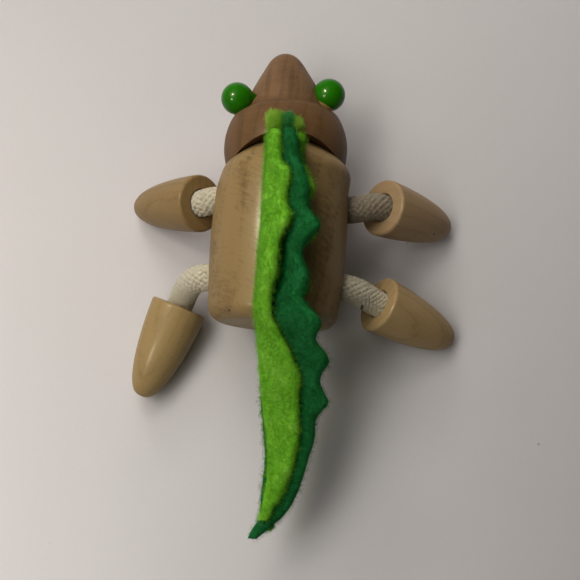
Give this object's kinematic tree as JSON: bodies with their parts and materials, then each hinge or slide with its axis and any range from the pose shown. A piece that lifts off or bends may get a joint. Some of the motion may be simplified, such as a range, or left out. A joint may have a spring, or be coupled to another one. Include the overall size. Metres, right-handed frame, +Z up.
{
  "type": "posable wooden crocodile figure",
  "caption": "Posable wooden crocodile: turned barrel body and coned head, bead eyes, bullet feet on cotton rope legs, and a layered felt crest that runs on as the tail.",
  "frame": {"origin": "middle of the base of the bounding box, on the surface the feet stand on", "axes": "+Z up, +Y towards the snout along the barrel's axis, +X to the figure's right side"},
  "size_m": [0.1008, 0.141, 0.058],
  "materials": {
    "body_wood": "pale turned hardwood, satin lacquer",
    "head_wood": "redder turned hardwood, satin lacquer",
    "foot_wood": "pale turned hardwood, satin lacquer",
    "eye_paint": "wooden bead, gloss green paint",
    "cotton_rope": "braided natural cotton",
    "light_felt": "thick wool felt",
    "dark_felt": "thick wool felt"
  },
  "bodies": {
    "torso": {"barrel_body": "body_wood", "front_rope_middle": "cotton_rope", "rear_rope_middle": "cotton_rope", "back_crest_left": "light_felt", "back_crest_middle": "dark_felt", "back_crest_right": "light_felt"},
    "neck": {"neck_cord": "cotton_rope"},
    "head": {"head_block": "head_wood", "eye_left": "eye_paint", "eye_right": "eye_paint", "head_crest_left": "light_felt", "head_crest_middle": "dark_felt", "head_crest_right": "light_felt"},
    "tail": {"tail_left": "light_felt", "tail_middle": "dark_felt", "tail_right": "light_felt"},
    "front_left_leg": {"front_left_rope_free": "cotton_rope"},
    "front_left_foot": {"foot_front_left": "foot_wood", "front_left_rope_end": "cotton_rope"},
    "front_right_leg": {"front_right_rope_free": "cotton_rope"},
    "front_right_foot": {"foot_front_right": "foot_wood", "front_right_rope_end": "cotton_rope"},
    "rear_left_leg": {"rear_left_rope_free": "cotton_rope"},
    "rear_left_foot": {"foot_rear_left": "foot_wood", "rear_left_rope_end": "cotton_rope"},
    "rear_right_leg": {"rear_right_rope_free": "cotton_rope"},
    "rear_right_foot": {"foot_rear_right": "foot_wood", "rear_right_rope_end": "cotton_rope"}
  },
  "joints": [
    {"name": "head_turn", "type": "hinge", "parent": "torso", "child": "neck", "pos_m": [-0.00345, 0.01949, 0.0255], "axis": [0, 0, 1], "range_deg": [-15, 15], "deforming": ["neck_cord"]},
    {"name": "head_nod", "type": "hinge", "parent": "neck", "child": "head", "pos_m": [-0.00345, 0.01949, 0.0255], "axis": [1, 0, 0], "range_deg": [-12, 3]},
    {"name": "tail_wag", "type": "hinge", "parent": "torso", "child": "tail", "pos_m": [-0.00285, -0.01351, 0.041], "axis": [0, 0, 1], "range_deg": [-25, 25], "stiffness_Nm_per_rad": 0.003, "deforming": ["tail_left", "tail_middle", "tail_right"]},
    {"name": "front_left_swing", "type": "hinge", "parent": "torso", "child": "front_left_leg", "pos_m": [-0.02335, 0.02419, 0.0228], "axis": [0, 0, 1], "range_deg": [-8, 10], "deforming": ["front_left_rope_free"]},
    {"name": "front_left_lift", "type": "hinge", "parent": "front_left_leg", "child": "front_left_foot", "pos_m": [-0.02605, 0.02389, 0.0225], "axis": [0.0802, 0.9968, 0], "range_deg": [-1, 38]},
    {"name": "front_right_swing", "type": "hinge", "parent": "torso", "child": "front_right_leg", "pos_m": [0.01385, 0.02419, 0.0228], "axis": [0, 0, 1], "range_deg": [-20, 20], "deforming": ["front_right_rope_free"]},
    {"name": "front_right_lift", "type": "hinge", "parent": "front_right_leg", "child": "front_right_foot", "pos_m": [0.01945, 0.02539, 0.0222], "axis": [-0.0384, -0.9993, 0], "range_deg": [-12, 40]},
    {"name": "rear_left_swing", "type": "hinge", "parent": "torso", "child": "rear_left_leg", "pos_m": [-0.02335, 0.00139, 0.0228], "axis": [0, 0, 1], "range_deg": [-25, 16], "deforming": ["rear_left_rope_free"]},
    {"name": "rear_left_lift", "type": "hinge", "parent": "rear_left_leg", "child": "rear_left_foot", "pos_m": [-0.03105, -0.00171, 0.0165], "axis": [-0.9478, 0.319, 0], "range_deg": [-4, 35]},
    {"name": "rear_right_swing", "type": "hinge", "parent": "torso", "child": "rear_right_leg", "pos_m": [0.01385, 0.00139, 0.0228], "axis": [0, 0, 1], "range_deg": [-20, 20], "deforming": ["rear_right_rope_free"]},
    {"name": "rear_right_lift", "type": "hinge", "parent": "rear_right_leg", "child": "rear_right_foot", "pos_m": [0.01995, 0.00049, 0.0203], "axis": [-0.304, -0.9527, 0], "range_deg": [-12, 38]}
  ]
}
